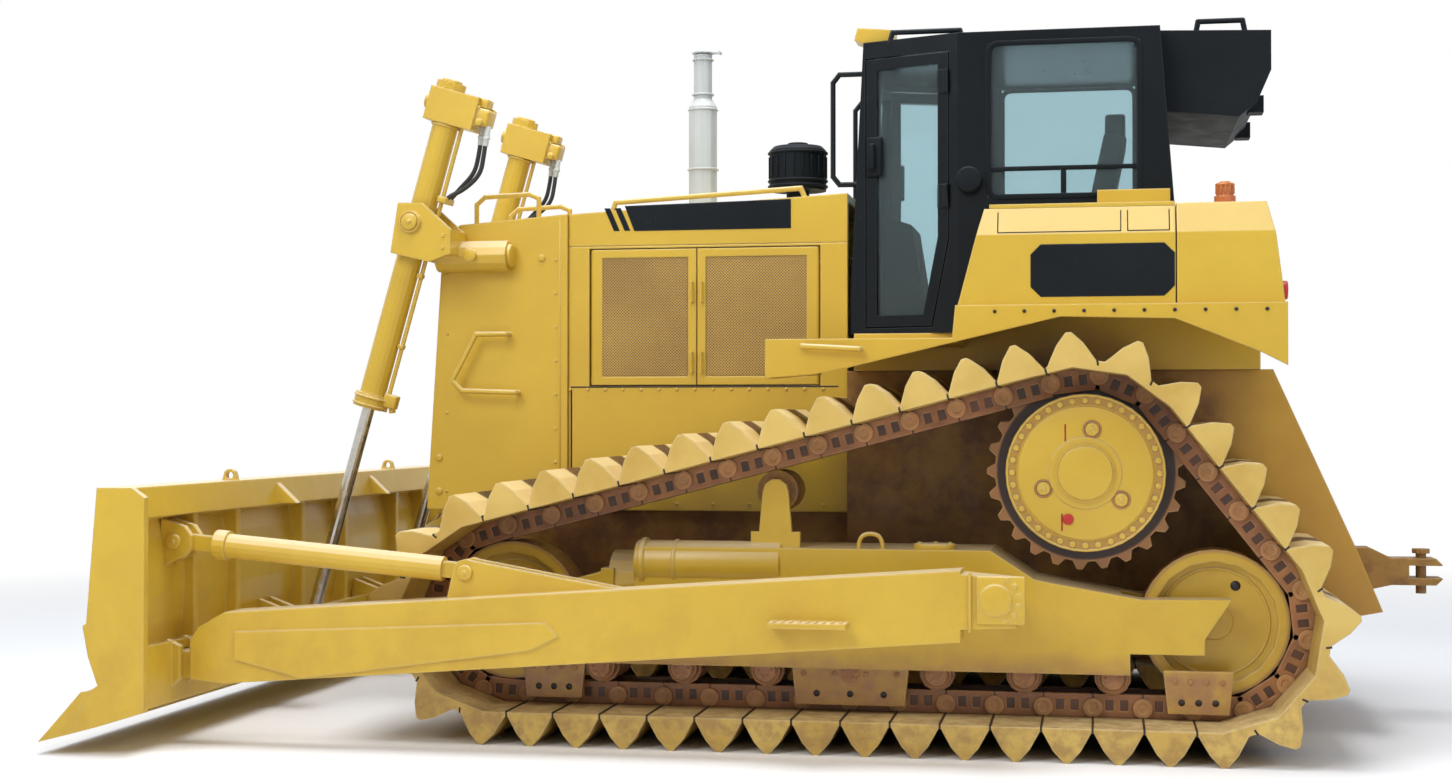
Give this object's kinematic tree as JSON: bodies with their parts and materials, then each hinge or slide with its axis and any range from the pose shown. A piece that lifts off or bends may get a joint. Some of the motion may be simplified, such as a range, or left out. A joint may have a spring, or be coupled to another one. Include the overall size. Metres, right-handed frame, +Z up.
{
  "type": "crawler bulldozer",
  "caption": "Crawler bulldozer with raised sprockets, wide swamp tracks, a straight blade on push arms, lift cylinders and an enclosed cab.",
  "frame": {"origin": "on the ground under the middle of the overall box", "axes": "+X forward to the blade, +Y to the machine's left, +Z up"},
  "size_m": [6.194, 4.38, 3.3901],
  "materials": {
    "yellow_paint": "satin enamel, a little worn",
    "brown_paint": "satin enamel",
    "track_steel": "oiled forged steel",
    "black_paint": "gloss black",
    "glass": "tinted glass",
    "silver_paint": "heat proof silver",
    "rod_chrome": "polished",
    "seat_cloth": "woven",
    "dark_plastic": "grained",
    "orange_plastic": "moulded"
  },
  "bodies": {
    "machine": {"main_frame": "yellow_paint", "deck": "yellow_paint", "drawbar": "brown_paint", "engine_block": "brown_paint", "engine_panels": "yellow_paint", "hood": "yellow_paint", "radiator_guard": "yellow_paint", "lift_brackets": "yellow_paint", "exhaust_stack": "silver_paint", "pre_cleaner": "dark_plastic", "cab_frame": "black_paint", "cab_glass": "glass", "roof_unit": "black_paint", "work_lamps": "yellow_paint", "filler_cap": "orange_plastic", "seat": "seat_cloth", "console": "dark_plastic", "fenders": "yellow_paint", "side_box_left": "yellow_paint", "side_box_right": "yellow_paint", "fuel_tank": "yellow_paint", "track_frames": "yellow_paint", "track_rollers": "track_steel", "carrier_rollers": "yellow_paint", "idlers": "yellow_paint", "sprockets": "yellow_paint", "track_left": "track_steel", "track_right": "track_steel"},
    "blade": {"blade": "yellow_paint", "blade_ears": "yellow_paint", "cutting_edge": "yellow_paint", "push_arms": "yellow_paint", "braces": "yellow_paint"},
    "lift_barrel_left": {"lift_barrel_left": "yellow_paint"},
    "lift_rod_left": {"lift_rod_left": "rod_chrome"},
    "cab_door_left": {"cab_door_left": "black_paint", "door_glass_left": "glass"},
    "grille_door_left": {"grille_door_left": "yellow_paint"},
    "box_lid_left": {"box_lid_left": "yellow_paint"},
    "engine_door_front_left": {"engine_door_front_left": "yellow_paint"},
    "engine_door_rear_left": {"engine_door_rear_left": "yellow_paint"},
    "lift_barrel_right": {"lift_barrel_right": "yellow_paint"},
    "lift_rod_right": {"lift_rod_right": "rod_chrome"},
    "cab_door_right": {"cab_door_right": "black_paint", "door_glass_right": "glass"},
    "grille_door_right": {"grille_door_right": "yellow_paint"},
    "box_lid_right": {"box_lid_right": "yellow_paint"},
    "engine_door_front_right": {"engine_door_front_right": "yellow_paint"},
    "engine_door_rear_right": {"engine_door_rear_right": "yellow_paint"},
    "rain_flap": {"rain_flap": "silver_paint"}
  },
  "joints": [
    {"name": "blade_lift", "type": "hinge", "parent": "machine", "child": "blade", "pos_m": [-1.041, 0, 0.695], "axis": [0, -1, 0], "range_deg": [-7.4, 15.5]},
    {"name": "lift_swing_left", "type": "hinge", "parent": "machine", "child": "lift_barrel_left", "pos_m": [1.908, 0.645, 2.45], "axis": [0, -1, 0], "range_deg": [-4.6, 9.5]},
    {"name": "lift_stroke_left", "type": "slide", "parent": "lift_barrel_left", "child": "lift_rod_left", "axis": [0.2735, 0, -0.9619], "range_m": [-0.911, 0.435]},
    {"name": "cab_door_swing_left", "type": "hinge", "parent": "machine", "child": "cab_door_left", "pos_m": [-0.7483, 0.68518, 2.5], "axis": [0, 0, 1], "range_deg": [0, 100]},
    {"name": "grille_door_swing_left", "type": "hinge", "parent": "machine", "child": "grille_door_left", "pos_m": [1.87612, 0.4115, 1.11463], "axis": [-0.0605, 0, 0.9982], "range_deg": [0, 90]},
    {"name": "box_lid_open_left", "type": "hinge", "parent": "machine", "child": "box_lid_left", "pos_m": [-1.4, 0.7795, 2.4235], "axis": [1, 0, 0], "range_deg": [0, 80]},
    {"name": "engine_door_front_swing_left", "type": "hinge", "parent": "machine", "child": "engine_door_front_left", "pos_m": [1.032, 0.48, 1.98], "axis": [0, 0, -1], "range_deg": [0, 90]},
    {"name": "engine_door_rear_swing_left", "type": "hinge", "parent": "machine", "child": "engine_door_rear_left", "pos_m": [-0.09, 0.48, 1.98], "axis": [0, 0, 1], "range_deg": [0, 90]},
    {"name": "lift_swing_right", "type": "hinge", "parent": "machine", "child": "lift_barrel_right", "pos_m": [1.908, -0.645, 2.45], "axis": [0, -1, 0], "range_deg": [-4.6, 9.5]},
    {"name": "lift_stroke_right", "type": "slide", "parent": "lift_barrel_right", "child": "lift_rod_right", "axis": [0.2735, 0, -0.9619], "range_m": [-0.911, 0.435]},
    {"name": "cab_door_swing_right", "type": "hinge", "parent": "machine", "child": "cab_door_right", "pos_m": [-0.7483, -0.68518, 2.5], "axis": [0, 0, -1], "range_deg": [0, 100]},
    {"name": "grille_door_swing_right", "type": "hinge", "parent": "machine", "child": "grille_door_right", "pos_m": [1.87612, -0.4115, 1.11463], "axis": [0.0605, 0, -0.9982], "range_deg": [0, 90]},
    {"name": "box_lid_open_right", "type": "hinge", "parent": "machine", "child": "box_lid_right", "pos_m": [-1.4, -0.7795, 2.4235], "axis": [-1, 0, 0], "range_deg": [0, 80]},
    {"name": "engine_door_front_swing_right", "type": "hinge", "parent": "machine", "child": "engine_door_front_right", "pos_m": [1.032, -0.48, 1.98], "axis": [0, 0, 1], "range_deg": [0, 90]},
    {"name": "engine_door_rear_swing_right", "type": "hinge", "parent": "machine", "child": "engine_door_rear_right", "pos_m": [-0.09, -0.48, 1.98], "axis": [0, 0, -1], "range_deg": [0, 90]},
    {"name": "rain_flap_open", "type": "hinge", "parent": "machine", "child": "rain_flap", "pos_m": [0.465, 0.1, 3.366], "axis": [0, -1, 0], "range_deg": [0, 75]}
  ],
  "couplings": [
    {"joint": "lift_swing_left", "follows": "blade_lift", "ratio": 0.605},
    {"joint": "lift_stroke_left", "follows": "blade_lift", "m_per_rad": -3.3633},
    {"joint": "lift_swing_right", "follows": "blade_lift", "ratio": 0.605},
    {"joint": "lift_stroke_right", "follows": "blade_lift", "m_per_rad": -3.3633}
  ]
}
